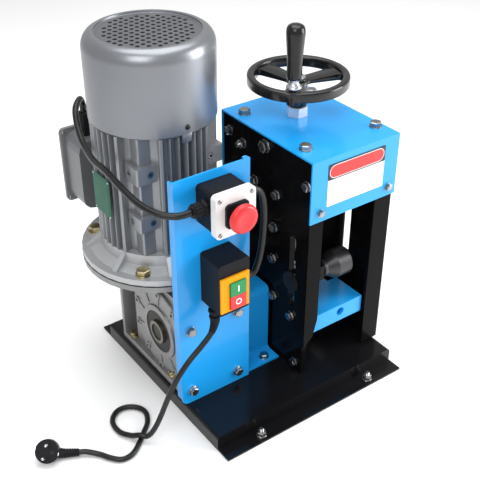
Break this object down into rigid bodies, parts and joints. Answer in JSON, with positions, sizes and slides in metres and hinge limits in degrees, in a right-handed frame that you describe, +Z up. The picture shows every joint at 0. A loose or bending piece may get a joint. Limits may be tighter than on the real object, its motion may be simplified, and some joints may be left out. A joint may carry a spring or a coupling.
{
  "type": "wire stripping machine",
  "caption": "Motor-driven bench machine that strips cable: a gearmotor turns a feed wheel, and a handwheel on a screw lowers a blade and guide roller in a boxed steel frame.",
  "frame": {"origin": "centre of the bounding box on the floor, under the base, measured without the mains cord and its plug", "axes": "+X runs along the front from the motor to the cutting head, +Y from the front to the terminal box at the back, +Z up"},
  "size_m": [0.6012, 0.4438, 0.5892],
  "materials": {
    "blue_paint": "gloss powder coat",
    "black_paint": "gloss powder coat",
    "silver_cast": "silver-painted casting",
    "steel": "machined",
    "zinc": "zinc plated",
    "bronze": "machined",
    "seal_rubber": "moulded",
    "cable_rubber": "smooth sheath",
    "black_plastic": "fine satin",
    "white_plastic": "satin",
    "yellow_plastic": "satin",
    "red_plastic": "gloss",
    "green_plastic": "gloss"
  },
  "bodies": {
    "frame": {"top_cover": "blue_paint", "feed_guide_block": "blue_paint", "control_panel": "blue_paint", "shaft_guard": "blue_paint", "base_pan": "black_paint", "left_side_plate": "black_paint", "right_side_plate": "black_paint", "top_plate": "black_paint", "rail_left_front": "black_paint", "rail_right_front": "black_paint", "gearbox_housing": "silver_cast", "gearbox_cover_left": "silver_cast", "gearbox_cover_right": "silver_cast", "input_flange": "silver_cast", "motor_flange": "silver_cast", "stator_housing": "silver_cast", "rear_shield": "silver_cast", "fan_cover": "silver_cast", "terminal_box": "silver_cast", "terminal_lid": "silver_cast", "main_bearing_left": "steel", "main_bearing_right": "steel", "oil_seal_left": "seal_rubber", "oil_seal_right": "seal_rubber", "motor_cable": "cable_rubber", "link_cable": "cable_rubber", "mains_cord": "cable_rubber", "plug_body": "cable_rubber", "estop_base": "black_plastic", "estop_collar": "black_plastic", "switch_body": "black_plastic", "cord_gland": "black_plastic", "terminal_gland": "black_plastic", "estop_cover": "white_plastic", "switch_bezel": "yellow_plastic"},
    "screw": {"adjusting_screw": "steel", "screw_nut": "zinc", "handwheel": "black_paint", "handle_spindle": "steel"},
    "grip": {"handle_grip": "black_plastic"},
    "carriage": {"blade_carriage": "black_paint", "lead_nut": "bronze", "blade_bearing_left": "steel", "blade_bearing_right": "steel", "guide_axle": "steel"},
    "blade": {"blade_shaft": "steel", "cutting_blade": "steel", "blade_clamp": "steel"},
    "roller": {"guide_roller": "black_paint"},
    "output": {"main_shaft": "steel", "feed_wheel": "steel", "hollow_output_shaft": "steel", "worm_wheel": "bronze"},
    "motor_rotor": {"rotor": "steel", "worm_shaft": "steel", "cooling_fan": "black_plastic"},
    "stop_plunger": {"estop_plunger": "black_plastic"},
    "stop_head": {"estop_button": "red_plastic"},
    "start_key": {"start_button": "green_plastic"},
    "stop_key": {"stop_button": "red_plastic"}
  },
  "joints": [
    {"name": "screw_turn", "type": "hinge", "parent": "frame", "child": "screw", "pos_m": [0.12325, -0.02105, 0.4371], "axis": [0, 0, 1], "range_deg": [-3150, 2520]},
    {"name": "grip_spin", "type": "hinge", "parent": "screw", "child": "grip", "pos_m": [0.07528, -0.06953, 0.5084], "axis": [0, 0, 1], "continuous": true},
    {"name": "carriage_slide", "type": "slide", "parent": "frame", "child": "carriage", "axis": [0, 0, 1], "range_m": [-0.035, 0.028]},
    {"name": "blade_spin", "type": "hinge", "parent": "carriage", "child": "blade", "pos_m": [0.12325, -0.01755, 0.209], "axis": [1, 0, 0], "continuous": true},
    {"name": "guide_roller_spin", "type": "hinge", "parent": "carriage", "child": "roller", "pos_m": [0.12325, -0.12255, 0.196], "axis": [1, 0, 0], "continuous": true},
    {"name": "rotor_spin", "type": "hinge", "parent": "frame", "child": "motor_rotor", "pos_m": [-0.08775, 0.05745, 0.2573], "axis": [0, 0, 1], "continuous": true},
    {"name": "output_spin", "type": "hinge", "parent": "frame", "child": "output", "pos_m": [-0.08775, -0.01755, 0.113], "axis": [1, 0, 0], "continuous": true},
    {"name": "estop_push", "type": "slide", "parent": "frame", "child": "stop_plunger", "axis": [0, 1, 0], "range_m": [0, 0.005], "stiffness_N_per_m": 600},
    {"name": "estop_twist", "type": "hinge", "parent": "stop_plunger", "child": "stop_head", "pos_m": [-0.09075, -0.17105, 0.385], "axis": [0, 1, 0], "range_deg": [0, 45], "stiffness_Nm_per_rad": 0.05},
    {"name": "start_push", "type": "slide", "parent": "frame", "child": "start_key", "axis": [0, 1, 0], "range_m": [0, 0.003], "stiffness_N_per_m": 400},
    {"name": "stop_push", "type": "slide", "parent": "frame", "child": "stop_key", "axis": [0, 1, 0], "range_m": [0, 0.003], "stiffness_N_per_m": 400}
  ],
  "couplings": [
    {"joint": "carriage_slide", "follows": "screw_turn", "m_per_rad": 0.0006366},
    {"joint": "output_spin", "follows": "rotor_spin", "ratio": -0.033333}
  ]
}
